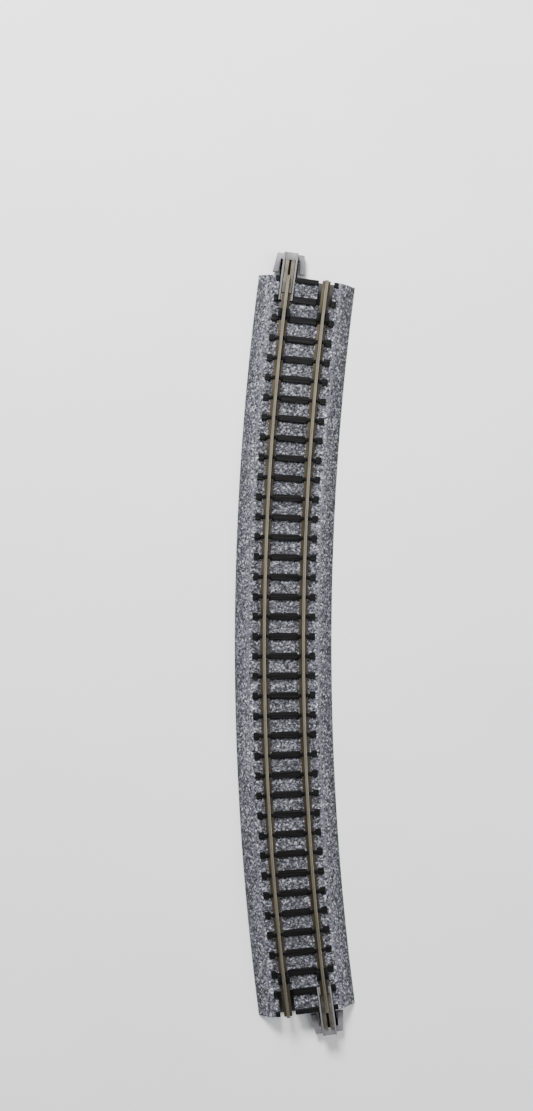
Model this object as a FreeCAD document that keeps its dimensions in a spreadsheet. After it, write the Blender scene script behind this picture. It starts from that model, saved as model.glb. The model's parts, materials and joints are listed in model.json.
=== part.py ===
"""Curved model railway track section on a moulded roadbed, in millimetres.

The curve lies in the XY plane and turns about a centre on the -Y side, so +Y is the outside of the
curve and +X runs along the track at its middle. The origin is the middle of the centreline, on the
surface that the section stands on. End A is at +X and end B at -X. Looking out of either end, the
left-hand rail carries a joiner and the right-hand rail has an empty socket.
"""

import FreeCAD
import Part
import Sketcher

import os
import re

# name, value, meaning. Lengths are in millimetres and angles in degrees.
SIZES = [
    ("curve_radius", 718.0, "centreline radius"),
    ("section_angle", 15.0, "angle that the section turns through"),
    ("gauge", 9.0, "clear distance between the rail heads"),
    ("rail_top", 7.0, "running surface above the table"),
    ("rail_fit", 0.03, "clearance round the rail foot"),
    ("rail_height", 2.03, "rail section, foot to running surface"),
    ("head_width", 0.9, "rail head"),
    ("head_depth", 0.6, "rail head"),
    ("head_round", 0.18, "running corners of the rail head"),
    ("web_width", 0.44, "rail web"),
    ("foot_width", 2.1, "rail foot"),
    ("foot_edge", 0.32, "rail foot at its edge"),
    ("foot_rise", 0.06, "rail foot, extra height at the web"),
    ("base_width", 25.0, "roadbed at the table"),
    ("crown_width", 18.0, "roadbed at the top of the ballast"),
    ("ballast_top", 4.35, "top of the ballast"),
    ("crown_round", 0.5, "rounded shoulder of the ballast"),
    ("side_wall", 1.3, "roadbed side wall, measured level"),
    ("end_wall", 1.2, "roadbed end wall"),
    ("deck_under", 2.8, "underside of the roadbed deck"),
    ("rib_width", 1.0, "cross ribs under the deck"),
    ("spine_rib_width", 0.8, "rib along the centreline"),
    ("cell_count", 16, "hollow cells along the section"),
    ("pilot_boss", 5.0, "diameter of the track pin bosses"),
    ("pilot_mark", 1.6, "mouth of the conical mark in each boss"),
    ("pilot_depth", 1.2, "depth of the conical mark"),
    ("pilot_spacing", 8, "cells between the two track pin bosses"),
    ("tie_count", 38, "sleepers, with the two narrow end ones"),
    ("tie_length", 16.0, "sleeper, across the track"),
    ("tie_width", 1.8, "sleeper, along the track"),
    ("tie_waist", 3.0, "narrow stretch of a sleeper under each rail, across the track"),
    ("end_tie_width", 1.3, "sleeper that shares a rail joint"),
    ("tie_seat", 3.87, "underside of the sleepers"),
    ("strip_fit", 0.05, "clearance round the sleeper strip"),
    ("strip_web", 1.4, "web under each rail"),
    ("strip_web_top", 4.25, "top of the web"),
    ("bar_width", 0.3, "bars that tie the end sleepers together"),
    ("bar_top", 4.2, "top of those bars"),
    ("chair_width", 2.8, "rail chair, across the rail"),
    ("chair_length", 1.0, "rail chair and sleeper's waist, along the rail"),
    ("chair_top", 5.58, "top of the rail chairs"),
    ("anchor_width", 3.0, "anchor block, across the rail"),
    ("anchor_length", 2.6, "anchor block, along the rail"),
    ("anchor_from_end", 9.5, "middle of the anchor block from the rail end"),
    ("anchor_top", 5.9, "top of the anchor block"),
    ("peg_width", 1.6, "peg through the deck"),
    ("peg_head", 2.6, "melted head of the peg"),
    ("peg_head_depth", 0.7, "melted head of the peg"),
    ("peg_count", 6, "pegs under each rail"),
    ("socket_width", 3.9, "slot in the deck for a joiner"),
    ("socket_length", 6.4, "slot in the deck for a joiner"),
    ("socket_floor", 0.6, "thickness of the floor below the joiners"),
    ("notch_width", 5.4, "gap in the end of the deck for a joiner"),
    ("arm_way", 7.2, "gap in the end wall that a joiner's squeezed arms pass through"),
    ("joiner_half", 6.2, "joiner, from its middle to its tip"),
    ("joiner_spine", 3.6, "body of the joiner between its arms"),
    ("joiner_neck", 4.0, "middle of the joiner, in the end wall gaps"),
    ("joiner_tip", 7.0, "width across the tips of the arms"),
    ("joiner_barb", 8.4, "width across the barbs"),
    ("barb_face", 1.25, "barb's catching face, from the middle"),
    ("barb_thick", 1.45, "arm at the barb"),
    ("arm_root", 4.6, "start of the slot behind the arm"),
    ("slot_width", 0.4, "slot behind the arm at its root"),
    ("joiner_under", 0.8, "underside of the joiner"),
    ("arm_top", 2.4, "top of the joiner's arms"),
    ("channel_floor", 4.7, "floor of the joiner's channel, under the fishplate"),
    ("channel_step", 0.2, "steps at both ends of the fishplate that keep it in place"),
    ("channel_top", 5.3, "top of the joiner's channel walls"),
    ("channel_wall", 0.42, "walls of the joiner's channel"),
    ("plate_length", 8.4, "fishplate, along the rail"),
    ("plate_thick", 0.2, "fishplate, sheet thickness"),
    ("plate_play", 0.05, "clearance between fishplate and rail foot"),
    ("plate_gap", 0.62, "gap between the fishplate's lips"),
    ("plate_bend", 0.25, "outer radius of the fishplate's bends"),
]
NAMES = {name for name, value, meaning in SIZES}

RAIL = "(gauge / 2 + head_width / 2)"  # centreline of the track to the middle of a rail
FOOT = "(rail_top - rail_height)"  # underside of the rail foot, top of the sleepers
PLATE_HALF = "(foot_width / 2 + plate_play + plate_thick)"
SOCKET_BAR = "(socket_width / 2 + bar_width)"


def sized(text):
    """The expression with every size's name pointing at the sheet."""
    return re.sub(r"[a-z_]+", lambda m: "Sizes." + m[0] if m[0] in NAMES else m[0], str(text))


def arc(length):
    """A length along the centreline as an angle about the curve's centre."""
    return f"(({length}) / curve_radius * 180 / pi)"


def across(side, offset):
    """Distance from the curve's centre of a line offset from the rail on that side of the track."""
    return f"curve_radius {side} {RAIL} {offset}"


def make_sheet(doc):
    sheet = doc.addObject("Spreadsheet::Sheet", "Sizes")
    for row, (name, value, meaning) in enumerate(SIZES, start=1):
        sheet.set(f"A{row}", name)
        sheet.set(f"B{row}", str(value))
        sheet.set(f"C{row}", meaning)
        sheet.setAlias(f"B{row}", name)
    doc.recompute()


def make_body(doc, label, x="0", y="0", turn="0"):
    """A body whose own origin stands at x, y in the section's frame, turned about Z."""
    body = doc.addObject("PartDesign::Body", label)
    body.Label = label
    body.Placement = FreeCAD.Placement(FreeCAD.Vector(), FreeCAD.Rotation(FreeCAD.Vector(0, 0, 1), 1))
    body.setExpression("Placement.Base.x", sized(x))
    body.setExpression("Placement.Base.y", sized(y))
    body.setExpression("Placement.Rotation.Angle", sized(turn))
    return body


def curve_body(doc, label):
    """A body whose own Z axis is the axis that the track curves about."""
    return make_body(doc, label, y="-curve_radius")


def settle(body, feature):
    """Makes a new feature the body's tip. Faces that run on are merged once, in finish."""
    feature.Refine = False
    body.Tip = feature
    body.Document.recompute()
    return feature


def finish(body):
    body.Tip.Refine = True
    body.Document.recompute()
    return body


def make_sketch(body, name, role, turn=None, lift=None):
    """An empty sketch on one of the body's planes, turned about Z or lifted along the plane's normal."""
    sketch = body.newObject("Sketcher::SketchObject", name)
    plane = next(o for o in body.Origin.OriginFeatures if o.Role == role)
    sketch.AttachmentSupport = [(plane, "")]
    sketch.MapMode = "FlatFace"
    if turn is not None:
        up = FreeCAD.Vector(0, 1, 0)
        sketch.AttachmentOffset = FreeCAD.Placement(FreeCAD.Vector(), FreeCAD.Rotation(up, 1))
        sketch.setExpression("AttachmentOffset.Rotation.Angle", sized(turn))
    if lift is not None:
        sketch.setExpression("AttachmentOffset.Base.z", sized(lift))
    return sketch


def fix(sketch, kind, geometry, point, expression):
    """Holds one coordinate of a point at the value of an expression on the sheet."""
    value = float(sketch.evalExpression(sized(expression)))
    index = sketch.addConstraint(Sketcher.Constraint(kind, -1, 1, geometry, point, value))
    sketch.setExpression(f"Constraints[{index}]", sized(expression))


def draw_outline(sketch, points):
    """Adds a closed outline of straight lines through points given as pairs of expressions."""
    first = sketch.GeometryCount
    corners = [
        FreeCAD.Vector(*(float(sketch.evalExpression(sized(e))) for e in point), 0) for point in points
    ]
    count = len(corners)
    for i in range(count):
        sketch.addGeometry(Part.LineSegment(corners[i], corners[(i + 1) % count]))
    for i in range(count):
        joined = first + (i + 1) % count
        sketch.addConstraint(Sketcher.Constraint("Coincident", first + i, 2, joined, 1))
    for i, (level, upright) in enumerate(points):
        fix(sketch, "DistanceX", first + i, 1, level)
        fix(sketch, "DistanceY", first + i, 1, upright)


def box(low, high, bottom, top):
    """The corners of a rectangle."""
    return [(low, bottom), (high, bottom), (high, top), (low, top)]


def draw_circle(sketch, x, y, diameter):
    value = float(sketch.evalExpression(sized(diameter)))
    centre = FreeCAD.Vector(*(float(sketch.evalExpression(sized(e))) for e in (x, y)), 0)
    circle = sketch.addGeometry(Part.Circle(centre, FreeCAD.Vector(0, 0, 1), value / 2))
    fix(sketch, "DistanceX", circle, 3, x)
    fix(sketch, "DistanceY", circle, 3, y)
    index = sketch.addConstraint(Sketcher.Constraint("Diameter", circle, value))
    sketch.setExpression(f"Constraints[{index}]", sized(diameter))


def turn_profile(body, kind, name, outlines, angle, turn=None):
    """Adds or cuts what outlines sweep as they turn about the curve's centre.

    The sweep lies half to each side of the sketch, which stands at the angle turn from the middle.
    """
    sketch = make_sketch(body, name + "_sketch", "YZ_Plane", turn=turn)
    for outline in outlines:
        draw_outline(sketch, outline)
    feature = body.newObject("PartDesign::" + kind, name)
    feature.Profile = sketch
    feature.ReferenceAxis = (sketch, ["V_Axis"])
    feature.setExpression("Angle", sized(angle))
    feature.Midplane = True
    return settle(body, feature)


def repeat(body, feature, count, angle):
    """Repeats a feature along the curve, over an angle from the first one to the last."""
    pattern = body.newObject("PartDesign::PolarPattern", feature.Name + "_row")
    pattern.Originals = [feature]
    axis = next(o for o in body.Origin.OriginFeatures if o.Role == "Z_Axis")
    pattern.Axis = (axis, [""])
    pattern.setExpression("Occurrences", sized(count))
    pattern.setExpression("Angle", sized(angle))
    return settle(body, pattern)


def turned_row(body, kind, name, outlines, length, count, margin):
    """A row of equal sweeps along the curve. The first and last middles are margin from the ends."""
    span = f"(section_angle - 2 * {arc(margin)})"
    first = turn_profile(body, kind, name, outlines, arc(length), turn=f"-{span} / 2")
    return repeat(body, first, count, span)


def extrude(body, kind, name, lift, depth, draw, reverse=False):
    """Pads upwards or pockets downwards what draw adds to a sketch at the height lift, or the reverse."""
    sketch = make_sketch(body, name + "_sketch", "XY_Plane", lift=lift)
    draw(sketch)
    feature = body.newObject("PartDesign::" + kind, name)
    feature.Profile = sketch
    feature.Type = "Length"
    feature.setExpression("Length", sized(depth))
    feature.Reversed = reverse
    return settle(body, feature)


def round_edges(body, name, radius, wanted):
    """Fillets the edges of the body's last feature that wanted(edge) picks."""
    base = body.Tip
    names = [f"Edge{i}" for i, edge in enumerate(base.Shape.Edges, start=1) if wanted(edge)]
    fillet = body.newObject("PartDesign::Fillet", name)
    fillet.Base = (base, names)
    fillet.setExpression("Radius", sized(radius))
    settle(body, fillet)


def size_of(doc, expression):
    return float(doc.getObject("Sizes").evalExpression(sized(expression)))


def both_rails(half_width, bottom, top):
    """A rectangle astride each rail."""
    edges = [(across(side, f"- {half_width}"), across(side, f"+ {half_width}")) for side in "+-"]
    return [box(inner, outer, bottom, top) for inner, outer in edges]


def mirrored(half, side):
    """An outline that is alike on both sides of a rail, from the points of one half."""
    outline = [(across(side, f"+ {offset}"), z) for offset, z in half]
    return outline + [(across(side, f"- {offset}"), z) for offset, z in reversed(half)]


def add_peg_rows(body, kind, name, diameter, lift, depth):
    """Round pegs, or holes for them, in a row under each rail."""

    def draw(sketch):
        angle = f"(section_angle / 2 - {arc('anchor_from_end')})"
        for side in "+-":
            radius = f"({across(side, '')})"
            draw_circle(sketch, f"{radius} * sin({angle})", f"{radius} * cos({angle})", diameter)

    first = extrude(body, kind, name, lift, depth, draw, reverse=True)
    repeat(body, first, "peg_count", f"section_angle - 2 * {arc('anchor_from_end')}")


def tie_pitch():
    """Distance between two sleepers along the centreline."""
    return "((curve_radius * section_angle * pi / 180 - end_tie_width) / (tie_count - 1))"


def tie_from_end(index):
    """Distance from the section's end to the middle of a sleeper, 0 for the end one."""
    return f"(end_tie_width / 2 + {index} * {tie_pitch()})"


def cell_pitch():
    """Angle from one hollow cell to the next."""
    return f"((section_angle - 2 * {arc('end_wall')} + {arc('rib_width')}) / cell_count)"


def make_roadbed(doc):
    """The ballast moulding: a hollow shell with ribs, slots for the sleepers and four joiner sockets."""
    body = curve_body(doc, "roadbed")
    shell = [
        ("curve_radius - base_width / 2", "0"),
        ("curve_radius + base_width / 2", "0"),
        ("curve_radius + crown_width / 2", "ballast_top"),
        ("curve_radius - crown_width / 2", "ballast_top"),
    ]
    turn_profile(body, "Revolution", "shell", [shell], "section_angle")
    half_crown = size_of(doc, "crown_width / 2")
    top = size_of(doc, "ballast_top")
    curve = size_of(doc, "curve_radius")

    def on_crown(edge):
        middle = edge.valueAt((edge.FirstParameter + edge.LastParameter) / 2)
        off_centre = abs(abs(middle.x + 1j * middle.y) - curve)
        long_way = edge.BoundBox.XLength > half_crown
        return long_way and edge.BoundBox.ZMin > top - 0.01 and abs(off_centre - half_crown) < 0.01

    round_edges(body, "crown_edges", "crown_round", on_crown)
    cut_strip_seats(body)
    cut_sockets(body)
    hollow_out(body)
    add_socket_floors(body)
    add_pin_bosses(body)
    hole = "peg_width + 2 * strip_fit"
    add_peg_rows(body, "Pocket", "peg_hole", hole, "deck_under", "tie_seat - deck_under")
    length = "tie_width + 2 * strip_fit"
    turned_row(body, "Groove", "tie_slot", [tie_slot()], length, "tie_count - 2", tie_from_end(1))
    return finish(body)


def tie_slot():
    half_tie = "(tie_length / 2 + strip_fit)"
    return box(f"curve_radius - {half_tie}", f"curve_radius + {half_tie}", "tie_seat", "ballast_top")


def cut_strip_seats(body):
    """Seats in the deck for the webs under the rails, the end sleepers and the bars beside them."""
    web_seat = both_rails("(strip_web / 2 + strip_fit)", "tie_seat", "ballast_top")
    turn_profile(body, "Groove", "web_seat", web_seat, "section_angle")
    bar_seat = both_rails(f"({SOCKET_BAR} + strip_fit)", "tie_seat", "ballast_top")
    length = tie_from_end(2)
    turned_row(body, "Groove", "bar_seat", bar_seat, length, "2", f"{length} / 2")
    length = "(end_tie_width + strip_fit)"
    turned_row(body, "Groove", "end_tie_slot", [tie_slot()], length, "2", f"{length} / 2")


def cut_sockets(body):
    """A slot through the deck at each rail end for a joiner, and a wider gap in the end wall."""
    slot = both_rails("socket_width / 2", "0", "ballast_top")
    turned_row(body, "Groove", "socket", slot, "socket_length", "2", "socket_length / 2")
    half = [
        ("arm_way / 2", "0"),
        ("arm_way / 2", "deck_under"),
        ("notch_width / 2", "deck_under"),
        ("notch_width / 2", "ballast_top"),
    ]
    gap = [mirrored(half, side) for side in "+-"]
    turned_row(body, "Groove", "end_wall_gap", gap, "end_wall", "2", "end_wall / 2")


def hollow_out(body):
    """Hollow cells under the deck, two abreast, with a rib along the centreline and ribs across."""
    slope = "(base_width - crown_width) / 2 / ballast_top"
    wall = "base_width / 2 - side_wall"
    cells = []
    for side in "+-":
        cells.append(
            [
                (f"curve_radius {side} spine_rib_width / 2", "0"),
                (f"curve_radius {side} ({wall})", "0"),
                (f"curve_radius {side} ({wall} - {slope} * deck_under)", "deck_under"),
                (f"curve_radius {side} spine_rib_width / 2", "deck_under"),
            ]
        )
    first = f"-(cell_count - 1) / 2 * {cell_pitch()}"
    cell = turn_profile(body, "Groove", "cell", cells, f"{cell_pitch()} - {arc('rib_width')}", turn=first)
    repeat(body, cell, "cell_count", f"(cell_count - 1) * {cell_pitch()}")


def add_socket_floors(body):
    """A floor at each end, between the side walls and the rib along the centreline."""
    plates = []
    for side in "+-":
        inner = f"curve_radius {side} spine_rib_width / 2"
        outer = f"curve_radius {side} (base_width / 2 - side_wall)"
        plates.append(box(inner, outer, "0", "socket_floor"))
    turned_row(body, "Revolution", "socket_floor", plates, "socket_length", "2", "socket_length / 2")


def add_pin_bosses(body):
    """Two bosses on the centreline, each with a conical mark underneath for a track pin."""
    span = f"(pilot_spacing * {cell_pitch()})"
    x = f"curve_radius * sin({span} / 2)"
    y = f"curve_radius * cos({span} / 2)"
    boss = extrude(body, "Pad", "pin_boss", "0", "deck_under", lambda s: draw_circle(s, x, y, "pilot_boss"))
    repeat(body, boss, "2", span)
    mark = body.newObject("PartDesign::SubtractiveCone", "pin_mark")
    mark.setExpression("Radius1", sized("pilot_mark / 2"))
    mark.Radius2 = 0
    mark.setExpression("Height", sized("pilot_depth"))
    mark.setExpression("Placement.Base.x", sized(x))
    mark.setExpression("Placement.Base.y", sized(y))
    repeat(body, settle(body, mark), "2", span)


def make_sleeper_strip(doc):
    """Sleepers moulded in one piece with webs, rail chairs, anchor blocks and the pegs below them."""
    body = curve_body(doc, "sleeper_strip")
    webs = both_rails("strip_web / 2", "tie_seat", "strip_web_top")
    anchor_start = "(anchor_from_end - anchor_length / 2)"
    turn_profile(body, "Revolution", "web", webs, f"section_angle - 2 * {arc(anchor_start)}")
    add_peg_rows(body, "Pad", "peg", "peg_width", "tie_seat", "tie_seat - deck_under")
    add_peg_rows(body, "Pad", "peg_head", "peg_head", "deck_under", "peg_head_depth")
    step = "(ballast_top + strip_fit)"
    anchors = [rail_holder(s, "strip_web", step, "anchor_width", "anchor_top") for s in "+-"]
    turned_row(body, "Revolution", "anchor", anchors, "anchor_length", "2", "anchor_from_end")

    # the two sleepers at each end stop short of the joiner sockets and bars hold their parts together
    parts = clear_of_rails("socket_width / 2")
    bars = []
    for side in "+-":
        for edge in "+-":
            inside = across(side, f"{edge} socket_width / 2")
            outside = across(side, f"{edge} {SOCKET_BAR}")
            bars.append(box(inside, outside, "tie_seat", "bar_top"))
    length = tie_from_end(2)
    turned_row(body, "Revolution", "end_bar", bars, length, "2", f"{length} / 2")
    turned_row(body, "Revolution", "end_tie", parts, "end_tie_width", "2", tie_from_end(0))
    turned_row(body, "Revolution", "second_tie", parts, "tie_width", "2", tie_from_end(1))

    parts = clear_of_rails("tie_waist / 2")
    turned_row(body, "Revolution", "tie", parts, "tie_width", "tie_count - 4", tie_from_end(2))
    chairs = [rail_holder(s, "tie_waist", FOOT, "chair_width", "chair_top") for s in "+-"]
    turned_row(body, "Revolution", "chair", chairs, "chair_length", "tie_count - 4", tie_from_end(2))
    return finish(body)


def clear_of_rails(gap):
    """The three parts of a sleeper that stay clear of both rails' centrelines by a gap."""
    inner = f"({RAIL} - {gap})"
    outer = f"({RAIL} + {gap})"
    half_tie = "(tie_length / 2)"
    ends = [(f"(-{half_tie})", f"(-{outer})"), (f"(-{inner})", inner), (outer, half_tie)]
    return [box(f"curve_radius + {low}", f"curve_radius + {high}", "tie_seat", FOOT) for low, high in ends]


def rail_holder(side, stem, stem_top, width, top):
    """The outline of a stem and, on it, a chair or block that grips the rail's foot under its head."""
    foot_way = "(foot_width / 2 + rail_fit)"
    web_way = "(head_width / 2 + rail_fit)"
    lip = f"{FOOT} + foot_edge + foot_rise"
    half = [
        (f"{stem} / 2", "tie_seat"),
        (f"{stem} / 2", stem_top),
        (f"{width} / 2", stem_top),
        (f"{width} / 2", top),
        (web_way, top),
        (web_way, lip),
        (foot_way, lip),
        (foot_way, FOOT),
    ]
    return mirrored(half, side)


def make_rail(doc, label, side):
    """A drawn rail bent to its own radius. side is + outside the curve and - inside it."""
    body = curve_body(doc, label)
    half = [
        ("foot_width / 2", FOOT),
        ("foot_width / 2", f"{FOOT} + foot_edge"),
        ("web_width / 2", f"{FOOT} + foot_edge + foot_rise"),
        ("web_width / 2", "rail_top - head_depth - foot_rise"),
        ("head_width / 2", "rail_top - head_depth"),
        ("head_width / 2", "rail_top"),
    ]
    turn_profile(body, "Revolution", "section", [mirrored(half, side)], "section_angle")
    top = size_of(doc, "rail_top")
    length = size_of(doc, "curve_radius") / 10

    def on_head(edge):
        return edge.BoundBox.ZMin > top - 0.01 and edge.BoundBox.XLength > length

    round_edges(body, "running_corners", "head_round", on_head)
    return finish(body)


def at_rail_end(end):
    """Where a joiner stands: on the left-hand rail looking out of that end, X pointing out."""
    if end == "a":
        radius, sense, turn = f"(curve_radius + {RAIL})", "", "-section_angle / 2"
    else:
        radius, sense, turn = f"(curve_radius - {RAIL})", "-", "180 + section_angle / 2"
    return {
        "x": f"{sense}{radius} * sin(section_angle / 2)",
        "y": f"{radius} * cos(section_angle / 2) - curve_radius",
        "turn": turn,
    }


def make_joiner_clip(doc, end):
    """The joiner's plastic clip: a spine with a channel for the fishplate, and four barbed arms."""
    body = make_body(doc, f"joiner_{end}_clip", **at_rail_end(end))
    quarter = [
        ("0", "joiner_neck / 2"),
        ("arm_root", "joiner_neck / 2"),
        ("arm_root", "joiner_neck / 2 + slot_width"),
        ("barb_face", "joiner_barb / 2 - barb_thick"),
        ("barb_face", "joiner_barb / 2"),
        ("joiner_half", "joiner_tip / 2"),
    ]

    def draw_arms(sketch):
        right = quarter[1:]
        points = [(x, y) for x, y in right]
        points += [(x, f"-({y})") for x, y in reversed(right)]
        points += [(f"-({x})", f"-({y})") for x, y in right]
        points += [(f"-({x})", y) for x, y in reversed(right)]
        draw_outline(sketch, points)

    def draw_spine(sketch):
        draw_outline(sketch, box("-joiner_half", "joiner_half", "-joiner_spine / 2", "joiner_spine / 2"))

    def draw_channel(sketch, half_length):
        half_channel = "(joiner_spine / 2 - channel_wall)"
        draw_outline(sketch, box(f"-{half_length}", half_length, f"-{half_channel}", half_channel))

    def draw_whole_channel(sketch):
        draw_channel(sketch, "joiner_half")

    def draw_plate_seat(sketch):
        draw_channel(sketch, "(plate_length / 2 + plate_play)")

    extrude(body, "Pad", "arms", "joiner_under", "arm_top - joiner_under", draw_arms)
    extrude(body, "Pad", "spine", "joiner_under", "channel_top - joiner_under", draw_spine)
    step_top = "(channel_floor + channel_step)"
    depth = f"channel_top - {step_top}"
    extrude(body, "Pocket", "channel", step_top, depth, draw_whole_channel, reverse=True)
    extrude(body, "Pocket", "plate_seat", "channel_floor", "channel_step", draw_plate_seat, reverse=True)
    return finish(body)


def make_fishplate(doc, end):
    """The metal joiner: a strip folded over both edges of the rail foot."""
    body = make_body(doc, f"joiner_{end}_fishplate", **at_rail_end(end))
    sketch = make_sketch(body, "fold_sketch", "YZ_Plane")
    floor = "channel_floor"
    lip = f"{FOOT} + foot_edge + foot_rise + plate_play"
    inside = f"({PLATE_HALF} - plate_thick)"
    half = [
        (PLATE_HALF, floor),
        (PLATE_HALF, f"{lip} + plate_thick"),
        ("plate_gap / 2", f"{lip} + plate_thick"),
        ("plate_gap / 2", lip),
        (inside, lip),
        (inside, f"{floor} + plate_thick"),
    ]
    draw_outline(sketch, half + [(f"-({y})", z) for y, z in reversed(half)])
    fold = body.newObject("PartDesign::Pad", "fold")
    fold.Profile = sketch
    fold.Type = "Length"
    fold.setExpression("Length", sized("plate_length"))
    fold.Midplane = True
    settle(body, fold)
    outer = size_of(doc, PLATE_HALF)
    long_way = size_of(doc, "plate_length") / 2

    def on_bend(edge):
        """Outer bends: the long edges of the two side faces."""
        box = edge.BoundBox
        return box.XLength > long_way and min(abs(box.YMin - outer), abs(box.YMax + outer)) < 0.01

    round_edges(body, "bends", "plate_bend", on_bend)
    return finish(body)


def check(doc, bodies):
    failed = [o.Label for o in doc.Objects if "Invalid" in o.State or "Error" in o.State]
    if failed:
        raise RuntimeError(f"these objects failed to rebuild: {failed}")
    for body in bodies:
        shape = body.Shape
        if shape.isNull() or not shape.isValid() or len(shape.Solids) != 1:
            raise RuntimeError(f"{body.Label} is not one valid solid")


def main():
    doc = FreeCAD.newDocument("TrackSection")
    make_sheet(doc)
    bodies = [make_roadbed(doc), make_sleeper_strip(doc)]
    bodies += [make_rail(doc, "rail_outer", "+"), make_rail(doc, "rail_inner", "-")]
    for end in "ab":
        bodies += [make_joiner_clip(doc, end), make_fishplate(doc, end)]
    doc.recompute()
    check(doc, bodies)
    os.makedirs("parts", exist_ok=True)
    for body in bodies:
        body.Shape.exportStep(f"parts/{body.Label}.step")
        print(f"{body.Label}: {body.Shape.Volume:.2f} mm3, {len(body.Shape.Faces)} faces")


main()
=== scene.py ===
import json
import math

import bpy
from mathutils import Matrix, Vector, noise

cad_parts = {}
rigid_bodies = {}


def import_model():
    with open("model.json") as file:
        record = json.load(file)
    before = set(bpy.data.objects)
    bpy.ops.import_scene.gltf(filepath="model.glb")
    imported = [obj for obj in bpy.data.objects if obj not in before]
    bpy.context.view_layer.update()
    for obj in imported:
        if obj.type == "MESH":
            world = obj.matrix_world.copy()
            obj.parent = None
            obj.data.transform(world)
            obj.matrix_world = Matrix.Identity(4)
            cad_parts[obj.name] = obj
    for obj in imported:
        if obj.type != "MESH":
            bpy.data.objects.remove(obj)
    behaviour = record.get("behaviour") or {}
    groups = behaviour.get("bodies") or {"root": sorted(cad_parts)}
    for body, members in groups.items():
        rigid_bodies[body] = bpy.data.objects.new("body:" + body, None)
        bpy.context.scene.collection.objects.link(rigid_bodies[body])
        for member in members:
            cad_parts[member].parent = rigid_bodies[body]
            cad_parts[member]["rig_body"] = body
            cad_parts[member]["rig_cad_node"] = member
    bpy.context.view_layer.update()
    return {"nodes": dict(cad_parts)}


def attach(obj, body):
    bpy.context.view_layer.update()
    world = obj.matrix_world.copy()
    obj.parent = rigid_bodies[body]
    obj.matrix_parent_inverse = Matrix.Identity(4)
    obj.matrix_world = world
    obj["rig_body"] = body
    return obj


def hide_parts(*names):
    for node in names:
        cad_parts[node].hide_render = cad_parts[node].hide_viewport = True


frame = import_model()
mm = 0.001

# the line that everything follows: an arc about a centre on the -Y side
curve = {
    "radius": 718.0 * mm,
    "angle": 15.0,  # degrees, half to each side of the middle
    "railOffset": 4.95 * mm,  # centreline of the track to the middle of a rail
}
endAngle = curve["angle"] / 2
ends = {"a": 1, "b": -1}


def pick(*objects):
    if bpy.context.mode != "OBJECT":
        done()
    bpy.ops.object.select_all(action="DESELECT")
    for each in objects:
        each.select_set(True)
    bpy.context.view_layer.objects.active = objects[0]


def editing(piece, kind="VERT"):
    pick(piece)
    bpy.ops.object.mode_set(mode="EDIT")
    bpy.ops.mesh.select_mode(type=kind)
    bpy.ops.mesh.select_all(action="SELECT")


def done():
    bpy.ops.object.mode_set(mode="OBJECT")


def choose(piece, kind, wanted):
    # leaves the piece in edit mode, with what wanted() says yes to selected
    editing(piece, kind)
    bpy.ops.mesh.select_all(action="DESELECT")
    done()
    mesh = piece.data
    if kind == "VERT":
        for vertex in mesh.vertices:
            vertex.select = wanted(vertex.co)
    elif kind == "EDGE":
        for edge in mesh.edges:
            edge.select = wanted(*(mesh.vertices[i].co for i in edge.vertices))
    else:
        for face in mesh.polygons:
            face.select = wanted(face.center, face.normal)
    bpy.ops.object.mode_set(mode="EDIT")


def turnOutward(piece):
    editing(piece)
    bpy.ops.mesh.normals_make_consistent(inside=False)
    done()


def applyPlace(piece):
    pick(piece)
    bpy.ops.object.transform_apply(location=True, rotation=True, scale=True)


def applyModifier(piece, kind, **settings):
    pick(piece)
    modifier = piece.modifiers.new(kind.title(), kind)
    for name, value in settings.items():
        setattr(modifier, name, value)
    bpy.ops.object.modifier_apply(modifier=modifier.name)


def roundEdges(piece, width, segments=2):
    applyModifier(
        piece, "BEVEL", width=width, segments=segments, limit_method="ANGLE",
        angle_limit=math.radians(25), use_clamp_overlap=True,
    )


def block(name, low, high):
    # a cuboid from its lowest to its highest corner
    size = [b - a for a, b in zip(low, high)]
    middle = [(a + b) / 2 for a, b in zip(low, high)]
    bpy.ops.mesh.primitive_cube_add(size=1, location=middle)
    piece = bpy.context.object
    piece.name = name
    piece.scale = size
    applyPlace(piece)
    return piece


def cutAcross(piece, axis, places):
    # a loop of edges right round the piece at each place along the axis
    normal = [0, 0, 0]
    normal[axis] = 1
    editing(piece)
    for place in places:
        bpy.ops.mesh.select_all(action="SELECT")
        bpy.ops.mesh.bisect(plane_co=[n * place for n in normal], plane_no=normal)
    done()


def copyOf(piece, name):
    new = piece.copy()
    new.data = piece.data.copy()
    new.name = name
    bpy.context.scene.collection.objects.link(new)
    return new


def discard(*pieces):
    for piece in pieces:
        bpy.data.objects.remove(piece)


def join(name, *pieces):
    pick(*pieces)
    bpy.ops.object.join()
    pieces[0].name = name
    return pieces[0]


def turned(angle):
    # a turn about the centre of the curve, in degrees towards end A
    centre = Matrix.Translation((0, -curve["radius"], 0))
    return centre @ Matrix.Rotation(-math.radians(angle), 4, "Z") @ centre.inverted()


def put(piece, angle, offset=0.0):
    # carries a piece made at the middle of the track to its angle, and out by its offset
    piece.matrix_world = turned(angle) @ Matrix.Translation((0, offset, 0)) @ piece.matrix_world
    applyPlace(piece)
    return piece


def arcAngle(length):
    return math.degrees(length / curve["radius"])


def settle(piece, body, slot, finish, *nodes):
    # the last step for each piece: its finish, the body that it rides on, and hiding the CAD nodes that it
    # takes the place of
    piece.data.materials.clear()
    piece.data.materials.append(finish)
    pick(piece)
    bpy.ops.object.shade_smooth_by_angle(angle=math.radians(35))
    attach(piece, body)
    if nodes:
        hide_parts(*nodes)


def paint(piece, group, weightAt):
    weights = piece.vertex_groups.new(name=group)
    for vertex in piece.data.vertices:
        weight = weightAt(vertex.co)
        if weight > 0:
            weights.add([vertex.index], weight, "REPLACE")


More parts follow.
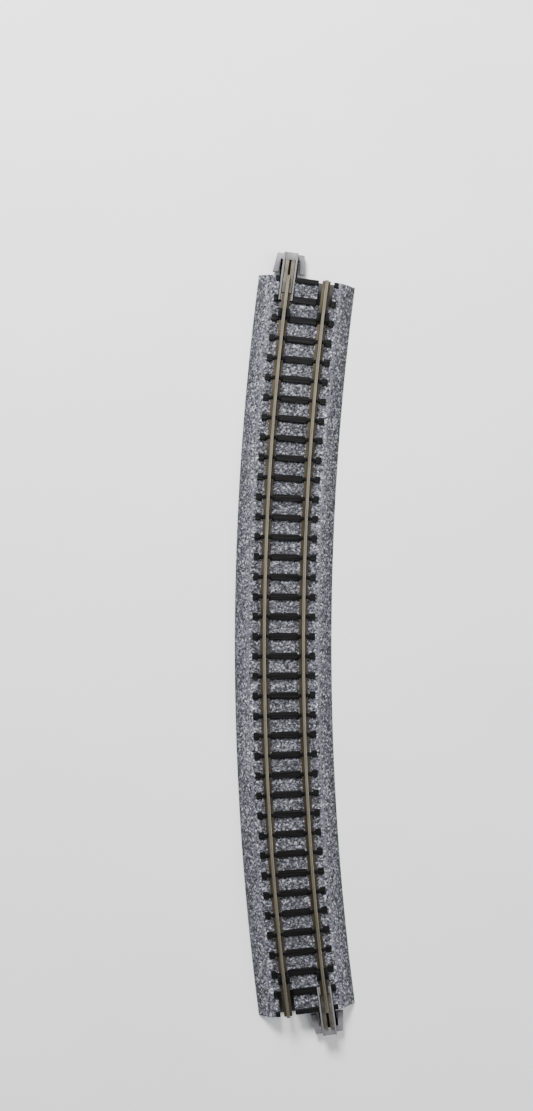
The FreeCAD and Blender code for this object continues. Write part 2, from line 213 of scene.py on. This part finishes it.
def raiseBy(piece, group, height):
    applyModifier(
        piece, "DISPLACE", direction="Z", mid_level=0.0, strength=height, vertex_group=group,
    )
    piece.vertex_groups.clear()


class Wire:
    # a socket that takes part in sums: each sum adds its Math node
    def __init__(self, finish, socket):
        self.finish = finish
        self.socket = socket

    def __add__(self, other):
        return self.finish.math("ADD", self, other)

    def __sub__(self, other):
        return self.finish.math("SUBTRACT", self, other)

    def __rsub__(self, other):
        return self.finish.math("SUBTRACT", other, self)

    def __mul__(self, other):
        return self.finish.math("MULTIPLY", self, other)

    __radd__ = __add__
    __rmul__ = __mul__


class Finish:
    def __init__(self, name):
        self.material = bpy.data.materials.new(name)
        self.material.use_nodes = True
        self.tree = self.material.node_tree
        self.tree.nodes.clear()
        self.place = self.add("ShaderNodeTexCoord", {}, {}, "Object")

    def add(self, kind, settings, sockets, output=0):
        node = self.tree.nodes.new(kind)
        for name, value in settings.items():
            if name == "stops":
                self.setStops(node.color_ramp, value)
            else:
                setattr(node, name, value)
        for name, value in sockets.items():
            if isinstance(value, Wire):
                self.tree.links.new(value.socket, node.inputs[name])
            else:
                node.inputs[name].default_value = value
        return Wire(self, node.outputs[output])

    def setStops(self, ramp, stops):
        while len(ramp.elements) < len(stops):
            ramp.elements.new(1.0)
        for element, (position, colour) in zip(ramp.elements, stops):
            element.position = position
            element.color = (*colour, 1.0)

    def math(self, operation, *numbers):
        return self.add("ShaderNodeMath", {"operation": operation}, dict(enumerate(numbers)))

    def ramp(self, value, *stops):
        return self.add("ShaderNodeValToRGB", {"stops": stops}, {"Fac": value})

    def between(self, value, low, high, start=0.0, end=1.0):
        # start where the value is low, end where it is high
        numbers = {"From Min": low, "From Max": high, "To Min": start, "To Max": end}
        return self.add("ShaderNodeMapRange", {}, {"Value": value, **numbers})

    def noise(self, size, place=None, detail=4.0, roughness=0.5):
        numbers = {"Scale": 1 / size, "Detail": detail, "Roughness": roughness}
        return self.add("ShaderNodeTexNoise", {}, {"Vector": place or self.place, **numbers})

    def cells(self, size):
        # a number of its own for each cell
        sockets = {"Vector": self.place, "Scale": 1 / size}
        return self.part("X", self.add("ShaderNodeTexVoronoi", {}, sockets, "Color"))

    def blend(self, amount, first, second, mode="MIX"):
        settings = {"data_type": "RGBA", "blend_type": mode}
        return self.add("ShaderNodeMix", settings, {0: amount, 6: first, 7: second}, 2)

    def bump(self, height, strength, distance):
        sockets = {"Height": height, "Strength": strength, "Distance": distance}
        return self.add("ShaderNodeBump", {}, sockets)

    def part(self, name, vector):
        return self.add("ShaderNodeSeparateXYZ", {}, {"Vector": vector}, name)

    def alongTrack(self, shrink=1.0):
        # length along the track, offset from its centreline, and height
        # a pattern is drawn out along the track where shrink is small
        parts = {name: self.part(name, self.place) for name in "XYZ"}
        fromCentre = parts["Y"] + curve["radius"]
        flat = self.add("ShaderNodeCombineXYZ", {}, {"X": parts["X"], "Y": fromCentre})
        reach = self.add("ShaderNodeVectorMath", {"operation": "LENGTH"}, {0: flat}, "Value")
        length = self.math("ARCTAN2", parts["X"], fromCentre) * (curve["radius"] * shrink)
        sockets = {"X": length, "Y": reach - curve["radius"], "Z": parts["Z"]}
        return self.add("ShaderNodeCombineXYZ", {}, sockets)

    def distanceOut(self):
        # from the centreline of the track to either side
        return self.math("ABSOLUTE", self.part("Y", self.alongTrack()))

    def finishWith(self, **sockets):
        named = {name.replace("_", " "): value for name, value in sockets.items()}
        shader = self.add("ShaderNodeBsdfPrincipled", {}, named)
        output = self.tree.nodes.new("ShaderNodeOutputMaterial")
        self.tree.links.new(shader.socket, output.inputs["Surface"])
        return self.material


def grey(level):
    return (level, level, level)


def stonePlastic():
    finish = Finish("stonePlastic")
    stone = finish.add("ShaderNodeAttribute", {"attribute_name": "stoneTone"}, {}, "Fac")
    tone = stone * 0.5 + finish.cells(0.36 * mm) * 0.5
    stops = [
        (0.10, (0.005, 0.005, 0.007)),
        (0.26, (0.020, 0.020, 0.026)),
        (0.38, (0.051, 0.051, 0.065)),
        (0.52, (0.085, 0.086, 0.106)),
        (0.64, (0.135, 0.137, 0.163)),
        (0.75, (0.250, 0.253, 0.290)),
        (0.88, (0.520, 0.525, 0.565)),
    ]
    speckle = finish.ramp(tone, *stops)
    patches = finish.noise(9 * mm, detail=2.0)
    shade = finish.ramp(patches, (0.3, grey(0.88)), (0.7, grey(1.0)))
    fleck = finish.noise(0.12 * mm, detail=2.0)
    flecked = finish.ramp(fleck, (0.35, grey(0.82)), (0.65, grey(1.0)))
    height = finish.part("Z", finish.place)
    paintedShoulderShade = finish.between(height, 0.4 * mm, 4.2 * mm, 0.50, 1.0)  # painted shade: darker towards the table
    # painted shade: the stones between the rails are darker, as rails and sleepers shade them, and painted
    # light makes those on the crown outside the rails lighter
    crown = finish.between(finish.distanceOut(), 7.0 * mm, 8.6 * mm, 0.74, 1.22)
    colour = finish.blend(1.0, finish.blend(1.0, speckle, shade, "MULTIPLY"), flecked, "MULTIPLY")
    return finish.finishWith(
        Base_Color=finish.blend(1.0, colour, paintedShoulderShade * crown, "MULTIPLY"),
        Roughness=finish.between(tone, 0.1, 0.9, 0.85, 0.60),
        Normal=finish.bump(fleck, 0.35, 0.04 * mm),
    )


def mouldedPlastic():
    finish = Finish("mouldedPlastic")
    swirl = finish.noise(14 * mm, detail=3.0)
    base = finish.ramp(swirl, (0.3, (0.078, 0.078, 0.090)), (0.7, (0.100, 0.100, 0.114)))
    stops = [(0.0, grey(0.62)), (0.12, grey(0.93)), (0.85, grey(1.0)), (1.0, grey(1.25))]
    dots = finish.ramp(finish.cells(0.7 * mm), *stops)
    skin = finish.noise(0.25 * mm, detail=3.0)
    facing = finish.add("ShaderNodeNewGeometry", {}, {}, "Normal")
    upward = finish.between(finish.part("Z", facing), 0.5, 0.9)
    low = finish.between(finish.part("Z", finish.place), 1.0 * mm, 0.8 * mm)
    speckled = finish.blend(1.0, base, dots, "MULTIPLY")
    paintedShadeBlack = (0.012, 0.012, 0.014, 1.0)
    return finish.finishWith(
        Base_Color=finish.blend(upward * low, speckled, paintedShadeBlack),  # painted shade: near-black on the floors of the sockets, where shade falls
        Roughness=finish.between(skin, 0.3, 0.7, 0.42, 0.58),
        Normal=finish.bump(skin, 0.15, 0.03 * mm),
    )


def sleeperPlastic():
    finish = Finish("sleeperPlastic")
    along = {0: finish.alongTrack(), 1: (1.0, 0.08, 1.0)}
    stretched = finish.add("ShaderNodeVectorMath", {"operation": "MULTIPLY"}, along)
    grain = finish.noise(0.22 * mm, stretched, detail=5.0, roughness=0.6)
    patches = finish.noise(3 * mm, detail=2.0)
    stops = [
        (0.28, (0.0005, 0.0005, 0.0005)),
        (0.55, (0.0018, 0.0016, 0.0016)),
        (0.80, (0.0070, 0.0062, 0.0060)),
    ]
    colour = finish.ramp(grain, *stops)
    dust = finish.ramp(patches, (0.35, grey(0.8)), (0.7, grey(1.15)))
    return finish.finishWith(
        Base_Color=finish.blend(1.0, colour, dust, "MULTIPLY"),
        Roughness=finish.between(grain, 0.3, 0.7, 0.50, 0.72),
        Specular_IOR_Level=0.14,
        Normal=finish.bump(grain, 0.6, 0.05 * mm),
    )


def railMetal():
    finish = Finish("railMetal")
    height = finish.part("Z", finish.place)
    streak = finish.noise(0.06 * mm, finish.alongTrack(0.015), detail=3.0)
    wear = finish.noise(6 * mm, detail=4.0)
    head = finish.between(height, 6.72 * mm, 6.95 * mm)
    fromMiddle = finish.math("ABSOLUTE", finish.distanceOut() - curve["railOffset"])
    paintedHeadHighlight = head * finish.between(fromMiddle, 0.42 * mm, 0.26 * mm)  # painted highlight along the middle of the head's top
    aboveFoot = finish.between(height, 5.42 * mm, 5.60 * mm)
    # painted shade: the foot under the head is darker than the rail's sides
    paintedFootShade = finish.ramp(wear, (0.35, (0.034, 0.026, 0.014)), (0.65, (0.062, 0.049, 0.029)))
    side = finish.ramp(wear, (0.35, (0.100, 0.088, 0.064)), (0.65, (0.170, 0.154, 0.120)))
    # painted highlight colour for the head's top, with drawn streaks along it
    bright = finish.ramp(streak, (0.3, (0.150, 0.139, 0.114)), (0.7, (0.270, 0.253, 0.212)))
    return finish.finishWith(
        Base_Color=finish.blend(paintedHeadHighlight, finish.blend(aboveFoot, paintedFootShade, side), bright),
        Metallic=finish.between(head, 0.0, 1.0, 0.75, 1.0),
        Roughness=finish.between(streak, 0.3, 0.7, 0.24, 0.36) + (1 - head) * 0.18,
        Normal=finish.bump(streak, 0.12, 0.01 * mm),
    )


def plateMetal():
    finish = Finish("plateMetal")
    brushed = finish.noise(0.2 * mm, detail=4.0)
    tarnish = finish.noise(2.5 * mm, detail=3.0)
    colour = finish.ramp(tarnish, (0.35, (0.110, 0.100, 0.078)), (0.7, (0.210, 0.195, 0.160)))
    lips = finish.between(finish.part("Z", finish.place), 4.95 * mm, 5.30 * mm)
    paintedShadeBlack = (0.010, 0.009, 0.007, 1.0)
    return finish.finishWith(
        Base_Color=finish.blend(lips, paintedShadeBlack, colour),  # painted shade: near-black below the lips, in the shade of the channel
        Metallic=1.0,
        Roughness=finish.between(brushed, 0.3, 0.7, 0.28, 0.42),
        Normal=finish.bump(brushed, 0.1, 0.01 * mm),
    )


def joinerPlastic():
    finish = Finish("joinerPlastic")
    swirl = finish.noise(4 * mm, detail=3.0)
    skin = finish.noise(0.18 * mm, detail=3.0)
    colour = finish.ramp(swirl, (0.3, (0.118, 0.116, 0.122)), (0.7, (0.155, 0.153, 0.160)))
    return finish.finishWith(
        Base_Color=colour,
        Roughness=finish.between(skin, 0.3, 0.7, 0.40, 0.55),
        Normal=finish.bump(skin, 0.12, 0.02 * mm),
        Subsurface_Weight=0.04,
        Subsurface_Scale=0.5 * mm,
    )


def floorPaint():
    finish = Finish("floorPaint")
    skin = finish.noise(40 * mm, detail=3.0)
    colour = finish.ramp(skin, (0.3, (0.79, 0.79, 0.80)), (0.7, (0.82, 0.82, 0.83)))
    return finish.finishWith(Base_Color=colour, Roughness=0.75)


finishes = {
    "stone": stonePlastic(),
    "moulded": mouldedPlastic(),
    "sleeper": sleeperPlastic(),
    "rail": railMetal(),
    "plate": plateMetal(),
    "joiner": joinerPlastic(),
    "floor": floorPaint(),
}
print("finishes made")


ballast = {
    "halfBase": 12.49 * mm,
    "halfCrown": 9.0 * mm,
    "top": 4.37 * mm,
    "foot": 0.06 * mm,  # the crust starts this far above the table
    "depth": 0.32 * mm,
    "crownRound": 0.7 * mm,
    "lean": 0.28 * mm,  # how much further in the crust's underside is at the table
    "grid": 0.115 * mm,
    "stoneSize": 0.46 * mm,
    "stoneHeight": 0.24 * mm,
    "fadeIn": 0.35 * mm,  # stones reach their full height this far above the table
    "gap": 0.34,  # width of the gaps between stones, as a share of their size
    "onTop": 0.2 * mm,  # how near to the outer side a point counts as on it
    "sections": 5,
    "past": 0.02 * mm,  # past the end plane of the moulding
    "socketHalf": 1.95 * mm,
    "socketLength": 6.4 * mm,
}


def crustHeight(offset):
    b = ballast
    slope = (b["top"] - b["foot"]) / (b["halfBase"] - b["halfCrown"])
    return b["top"] - slope * max(0.0, abs(offset) - b["halfCrown"])


def crustProfile(low, high):
    # a closed outline standing across the track at its middle, from one offset to another
    b = ballast
    flatLow = max(low, -b["halfCrown"])
    flatHigh = min(high, b["halfCrown"])
    piece = block("profile", (-mm, flatLow, b["top"] - b["depth"]), (0, flatHigh, b["top"]))
    choose(piece, "FACE", lambda centre, normal: normal.x < 0.5)
    bpy.ops.mesh.delete(type="FACE")
    done()
    for side, edge in ((1, high), (-1, low)):
        if abs(edge) <= b["halfCrown"]:
            continue
        crown = side * b["halfCrown"]
        drop = (0, edge - crown, b["foot"] - b["top"])
        choose(piece, "EDGE", lambda v, w: abs(v.y - crown) < 1e-6 and abs(w.y - crown) < 1e-6)
        bpy.ops.mesh.extrude_region_move(TRANSFORM_OT_translate={"value": drop})
        choose(piece, "VERT", lambda v: v.z < 0)
        bpy.ops.transform.translate(value=(0, -side * b["lean"], b["depth"]))
        done()
    editing(piece, "FACE")
    bpy.ops.mesh.dissolve_faces()
    choose(piece, "VERT", lambda v: abs(abs(v.y) - b["halfCrown"]) < 1e-6 and v.z > b["top"] - 1e-6)
    bpy.ops.mesh.bevel(offset=b["crownRound"], segments=6, affect="VERTICES")
    bpy.ops.mesh.select_all(action="SELECT")
    bpy.ops.mesh.delete(type="ONLY_FACE")
    done()
    divideOuter(piece)
    return piece


def divideOuter(piece):
    # cuts each long edge of the outer side into pieces of about the grid's size
    b = ballast

    def tooLong(v, w):
        middle = (v + w) / 2
        outer = abs(middle.z - crustHeight(middle.y)) < b["onTop"]
        return outer and (v - w).length > 1.6 * b["grid"]

    while True:
        pairs = [[piece.data.vertices[i].co.copy() for i in e.vertices] for e in piece.data.edges]
        long = [pair for pair in pairs if tooLong(*pair)]
        if not long:
            return
        first, second = long[0]
        choose(piece, "EDGE", lambda v, w: {v[:], w[:]} == {first[:], second[:]})
        bpy.ops.mesh.subdivide(number_cuts=max(1, round((first - second).length / b["grid"]) - 1))
        done()


def sweep(piece, name, start, angle, steps):
    # turns an outline about the centre of the curve and closes both ends
    editing(piece)
    bpy.ops.mesh.spin(
        steps=steps, angle=math.radians(angle), center=(0, -curve["radius"], 0), axis=(0, 0, 1),
    )
    bpy.ops.mesh.select_all(action="DESELECT")
    bpy.ops.mesh.select_non_manifold()
    bpy.ops.mesh.fill_holes(sides=0)
    done()
    piece.name = name
    turnOutward(piece)
    return put(piece, start)


def stoneAt(place):
    # height and tone of the stone at a place: flat-topped and tilted, with gaps between neighbours
    distances, points = noise.voronoi(place / ballast["stoneSize"])
    nearest = points[0]
    own = noise.cell_vector(nearest)
    gap = min(1.0, (distances[1] - distances[0]) / ballast["gap"])
    lean = (place / ballast["stoneSize"] - nearest).dot(own - Vector((0.5, 0.5, 0.5)))
    height = gap * gap * (3 - 2 * gap) * (0.45 + 0.45 * own.x + 0.5 * lean)
    return min(1.0, max(0.0, height)), own.y


def coverWithStones(piece):
    b = ballast
    centre = Vector((0, -curve["radius"], 0))
    heights = {}
    tones = []
    for vertex in piece.data.vertices:
        height, tone = stoneAt(vertex.co)
        offset = (Vector((vertex.co.x, vertex.co.y, 0)) - centre).length - curve["radius"]
        onTop = abs(vertex.co.z - crustHeight(offset)) < b["onTop"]
        fade = min(1.0, max(0.0, (vertex.co.z - b["foot"]) / b["fadeIn"]))
        heights[vertex.co[:]] = height * fade if onTop else 0.0
        tones.append(tone)
    paint(piece, "stones", lambda co: heights[co[:]])
    raiseBy(piece, "stones", b["stoneHeight"])
    attribute = piece.data.attributes.new("stoneTone", "FLOAT", "POINT")
    attribute.data.foreach_set("value", tones)


def makeBallast():
    b = ballast
    rail = curve["railOffset"]
    whole = 2 * endAngle + 2 * arcAngle(b["past"])
    socket = arcAngle(b["socketLength"] + b["past"])
    each = (whole - 2 * socket) / b["sections"]
    fineStep = arcAngle(b["grid"])
    profile = crustProfile(-b["halfBase"], b["halfBase"])
    for number in range(b["sections"]):
        start = -whole / 2 + socket + number * each
        piece = copyOf(profile, "profile")
        sweep(piece, f"ballastSection{number + 1}", start, each, round(each / fineStep))
        coverWithStones(piece)
        settle(piece, "track", "ballast_plastic", finishes["stone"])
    discard(profile)
    inner = rail - b["socketHalf"]
    outer = rail + b["socketHalf"]
    strips = {
        "Inside": (-b["halfBase"], -outer),
        "Between": (-inner, inner),
        "Outside": (outer, b["halfBase"]),
    }
    for where, (low, high) in strips.items():
        for end, side in ends.items():
            piece = crustProfile(low, high)
            start = -whole / 2 if side < 0 else whole / 2 - socket
            sweep(piece, f"ballastEnd{end.upper()}{where}", start, socket, round(socket / fineStep))
            coverWithStones(piece)
            settle(piece, "track", "ballast_plastic", finishes["stone"])


makeBallast()
print("ballast made")


sleeper = {
    "count": 38,
    "length": 16.0 * mm,
    "width": 1.75 * mm,
    "endWidth": 1.3 * mm,
    "bottom": 3.90 * mm,
    "top": 4.97 * mm,
    "waistStart": 3.45 * mm,  # offsets where the sleeper narrows before a rail and widens after it
    "waistIn": 3.80 * mm,
    "waistOut": 6.45 * mm,
    "waistEnd": 6.7 * mm,
    "waistShare": 0.28,
    "edge": 0.13 * mm,
    "cutsAlong": 1.3 * mm,
    "grainWide": 0.24 * mm,
    "grainLong": 5.0 * mm,
    "grainDepth": 0.07 * mm,
}
chair = {
    "length": 0.95 * mm,
    "half": 1.40 * mm,
    "bottom": 4.90 * mm,
    "top": 5.56 * mm,
    "edge": 0.05 * mm,
}
anchor = {
    "length": 2.6 * mm,
    "half": 1.50 * mm,
    "bottom": 4.42 * mm,
    "top": 5.86 * mm,
    "edge": 0.12 * mm,
    "fromEnd": 9.5 * mm,
}
grip = {"footHalf": 1.08 * mm, "lipHalf": 0.53 * mm, "lipUnder": 5.38 * mm}


def makeGrip(name, sizes):
    # two claws over the foot of a rail that runs along X
    low = (-sizes["length"] / 2, grip["footHalf"], sizes["bottom"])
    high = (sizes["length"] / 2, sizes["half"], sizes["top"])
    piece = block(name, low, high)
    cutAcross(piece, 2, [grip["lipUnder"]])
    choose(piece, "FACE", lambda centre, normal: normal.y < -0.5 and centre.z > grip["lipUnder"])
    reach = grip["footHalf"] - grip["lipHalf"]
    bpy.ops.mesh.extrude_region_move(TRANSFORM_OT_translate={"value": (0, -reach, 0)})
    choose(piece, "FACE", lambda centre, normal: normal.z > 0.5 and centre.z > sizes["top"] - 1e-6)
    bpy.ops.transform.resize(value=(0.8, 0.92, 1))
    done()
    roundEdges(piece, sizes["edge"])
    applyModifier(piece, "MIRROR", use_axis=(False, True, False), use_mirror_merge=False)
    turnOutward(piece)
    return piece


def sleeperBar(name, width, parts):
    # a bar across the track in one or more parts, narrow where it passes under a rail
    s = sleeper
    waist = [s["waistStart"], s["waistIn"], s["waistOut"], s["waistEnd"]]
    made = []
    for low, high in parts:
        bar = block(name, (-width / 2, low, s["bottom"]), (width / 2, high, s["top"]))
        loops = [side * place for side in (1, -1) for place in waist]
        cutAcross(bar, 1, [place for place in loops if low < place < high])
        choose(bar, "VERT", lambda v: s["waistIn"] - 1e-6 < abs(v.y) < s["waistOut"] + 1e-6)
        bpy.ops.transform.resize(value=(s["waistShare"], 1, 1), center_override=(0, 0, 0))
        done()
        made.append(bar)
    bar = join(name, *made) if len(made) > 1 else made[0]
    cutAcross(bar, 0, [width * share for share in (-0.3, -0.1, 0.1, 0.3)])
    roundEdges(bar, s["edge"])
    applyModifier(bar, "SUBSURF", subdivision_type="SIMPLE", levels=1, render_levels=1)
    cutAcross(bar, 1, [number * s["cutsAlong"] for number in range(-5, 6)])
    return bar


def carveGrain(piece, seed):
    s = sleeper

    def depth(co):
        if co.z < s["top"] - 2 * s["edge"]:
            return 0.0
        place = Vector((co.x / s["grainWide"], co.y / s["grainLong"], seed * 3.7))
        return min(1.0, max(0.0, 0.5 - noise.noise(place) * 1.1))

    paint(piece, "grain", depth)
    raiseBy(piece, "grain", -s["grainDepth"])


def makeSleepers():
    s = sleeper
    b = ballast
    rail = curve["railOffset"]
    half = s["length"] / 2
    inner = rail - b["socketHalf"]
    outer = rail + b["socketHalf"]
    cutParts = [(-half, -outer), (-inner, inner), (outer, half)]
    plain = sleeperBar("plainSleeper", s["width"], [(-half, half)])
    cut = sleeperBar("cutSleeper", s["width"], cutParts)
    narrow = sleeperBar("narrowSleeper", s["endWidth"], cutParts)
    claws = makeGrip("claws", chair)
    whole = 2 * endAngle
    fromEnd = arcAngle(s["endWidth"] / 2)
    step = (whole - 2 * fromEnd) / (s["count"] - 1)
    for number in range(s["count"]):
        fromNearest = min(number, s["count"] - 1 - number)
        source = {0: narrow, 1: cut}.get(fromNearest, plain)
        piece = copyOf(source, f"sleeper{number + 1:02d}")
        carveGrain(piece, number + 1)
        if fromNearest > 1:
            sides = [put(copyOf(claws, "claw"), 0, side * rail) for side in (1, -1)]
            piece = join(piece.name, piece, *sides)
        put(piece, endAngle - fromEnd - number * step)
        settle(piece, "track", "sleeper_plastic", finishes["sleeper"], "sleeper_strip")
    discard(plain, cut, narrow, claws)


def makeAnchors():
    fromEnd = arcAngle(anchor["fromEnd"])
    source = makeGrip("anchorSource", anchor)
    for end, sideways in ends.items():
        for name, side in (("Outer", 1), ("Inner", -1)):
            piece = copyOf(source, f"anchor{end.upper()}{name}")
            put(piece, sideways * (endAngle - fromEnd), side * curve["railOffset"])
            settle(piece, "track", "sleeper_plastic", finishes["sleeper"], "sleeper_strip")
    discard(source)


# what joins the sleepers: a web under each rail, and bars beside the sockets
strip = {
    "bottom": 3.87 * mm,
    "webHalf": 0.7 * mm,
    "webTop": 4.25 * mm,
    "webFromEnd": 8.2 * mm,
    "barNear": 1.95 * mm,  # from the middle of the rail to the bar's nearer side
    "barFar": 2.30 * mm,
    "barTop": 4.20 * mm,
    "barLength": 10.7 * mm,
}


def sweptStrip(name, low, high, bottom, top, start, angle, steps):
    # a rectangle across the track, turned along the curve
    piece = block(name, (-mm, low, bottom), (0, high, top))
    choose(piece, "FACE", lambda centre, normal: normal.x < 0.5)
    bpy.ops.mesh.delete(type="FACE")
    bpy.ops.mesh.select_all(action="SELECT")
    bpy.ops.mesh.delete(type="ONLY_FACE")
    done()
    sweep(piece, name, start, angle, steps)
    roundEdges(piece, 0.05 * mm, 1)
    settle(piece, "track", "sleeper_plastic", finishes["sleeper"], "sleeper_strip")
    return piece


def makeStripUnderparts():
    t = strip
    webSpan = 2 * (endAngle - arcAngle(t["webFromEnd"]))
    barSpan = arcAngle(t["barLength"])
    for name, side in (("Outer", 1), ("Inner", -1)):
        rail = side * curve["railOffset"]
        sweptStrip(
            f"webUnder{name}Rail", rail - t["webHalf"], rail + t["webHalf"],
            t["bottom"], t["webTop"], -webSpan / 2, webSpan, 60,
        )
        for end, sideways in ends.items():
            start = -endAngle if sideways < 0 else endAngle - barSpan
            for edge, place in (("Near", -1), ("Far", 1)):
                near = rail + place * t["barNear"]
                far = rail + place * t["barFar"]
                sweptStrip(
                    f"socketBar{end.upper()}{name}{edge}", min(near, far), max(near, far),
                    t["bottom"], t["barTop"], start, barSpan, 8,
                )


peg = {
    "count": 6,  # under each rail
    "radius": 1.3 * mm,
    "depth": 0.7 * mm,
    "deck": 2.8 * mm,
    "fromEnd": 9.5 * mm,
    "rim": 0.55 * mm,
    "dishSlope": 0.15 * mm,
    "dish": 0.14 * mm,
    "round": 0.4 * mm,
}


def makePegHeads():
    # melted heads under the deck, domed and a little dished in the middle
    p = peg
    under = p["deck"] - p["depth"]

    def atRim(v, w):
        return max(v.z, w.z) < under + 1e-6 and v.xy.length > p["radius"] - 1e-6

    middle = (0, 0, p["deck"] - p["depth"] / 2)
    bpy.ops.mesh.primitive_cylinder_add(vertices=40, radius=p["radius"], depth=p["depth"], location=middle)
    source = bpy.context.object
    applyPlace(source)
    choose(source, "FACE", lambda centre, normal: normal.z < -0.5)
    bpy.ops.mesh.inset(thickness=p["rim"])
    bpy.ops.mesh.inset(thickness=p["dishSlope"])
    bpy.ops.transform.translate(value=(0, 0, p["dish"]))
    done()
    choose(source, "EDGE", atRim)
    bpy.ops.mesh.bevel(offset=p["round"], segments=5)
    done()
    span = 2 * (endAngle - arcAngle(p["fromEnd"]))
    for name, side in (("Outer", 1), ("Inner", -1)):
        for number in range(p["count"]):
            piece = copyOf(source, f"pegHead{name}{number + 1}")
            put(piece, span / 2 - number * span / (p["count"] - 1), side * curve["railOffset"])
            settle(piece, "track", "sleeper_plastic", finishes["sleeper"], "sleeper_strip")
    discard(source)


makeSleepers()
makeAnchors()
makeStripUnderparts()
makePegHeads()
print("sleepers made")


clip = {"edge": 0.12 * mm, "segments": 3, "merge": 0.002 * mm}


def copyOfNode(node, name):
    source = frame["nodes"][node]
    piece = source.copy()
    piece.data = source.data.copy()
    piece.name = name
    piece.parent = None
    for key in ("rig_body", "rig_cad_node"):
        del piece[key]
    bpy.context.scene.collection.objects.link(piece)
    editing(piece)
    bpy.ops.mesh.remove_doubles(threshold=clip["merge"])
    bpy.ops.mesh.dissolve_limited(angle_limit=math.radians(1))
    done()
    return piece


def makeJoiners():
    for end in ends:
        piece = copyOfNode(f"joiner_{end}_clip", f"joinerClip{end.upper()}")
        roundEdges(piece, clip["edge"], clip["segments"])
        settle(piece, f"joiner_{end}", "joiner_plastic", finishes["joiner"], f"joiner_{end}_clip")


makeJoiners()
print("joiners made")


# these keep their own shapes
kept = {
    "roadbed": "moulded",
    "rail_outer": "rail",
    "rail_inner": "rail",
    "joiner_a_fishplate": "plate",
    "joiner_b_fishplate": "plate",
}
for node, finish in kept.items():
    frame["nodes"][node].data.materials.clear()
    frame["nodes"][node].data.materials.append(finishes[finish])
print("kept parts finished")


studio = {
    "floorSize": 1.8,
    "floorGap": 0.01 * mm,
    "skyColour": (0.95, 0.97, 1.0, 1.0),
    "key": {"place": (0.44, 0.13, 0.42), "size": 0.20, "power": 9.5},
    "fill": {"place": (0.05, -0.60, 0.75), "size": 0.6, "power": 5.6},
    "top": {"place": (0.10, 0.10, 0.95), "size": 0.7, "power": 1.4},
    "sky": 0.24,
}


def makeStudio():
    bpy.ops.mesh.primitive_plane_add(size=studio["floorSize"], location=(0, 0, -studio["floorGap"]))
    floor = bpy.context.object
    floor.name = "floor"
    applyPlace(floor)
    floor.data.materials.append(finishes["floor"])
    for name in ("key", "fill", "top"):
        data = bpy.data.lights.new(name, "AREA")
        data.energy = studio[name]["power"]
        data.size = studio[name]["size"]
        lamp = bpy.data.objects.new(name, data)
        lamp.location = studio[name]["place"]
        lamp.rotation_euler = (-lamp.location).to_track_quat("-Z", "Y").to_euler()
        bpy.context.scene.collection.objects.link(lamp)
    world = bpy.data.worlds.new("room")
    world.use_nodes = True
    background = world.node_tree.nodes["Background"]
    background.inputs["Color"].default_value = studio["skyColour"]
    background.inputs["Strength"].default_value = studio["sky"]
    bpy.context.scene.world = world


camera = {"place": (23.7 * mm, 11.5 * mm, 460.0 * mm), "lens": 57.8, "shift": (0.0252, -0.002)}


def makeCamera():
    # looks straight down, with +X at the top of the picture
    data = bpy.data.cameras.new("camera")
    data.lens = camera["lens"]
    data.shift_x, data.shift_y = camera["shift"]
    data.clip_start = 10 * mm
    made = bpy.data.objects.new("camera", data)
    made.location = camera["place"]
    made.rotation_euler = (0, 0, -math.pi / 2)
    bpy.context.scene.collection.objects.link(made)
    bpy.context.scene.camera = made


makeStudio()
makeCamera()
print("studio made")
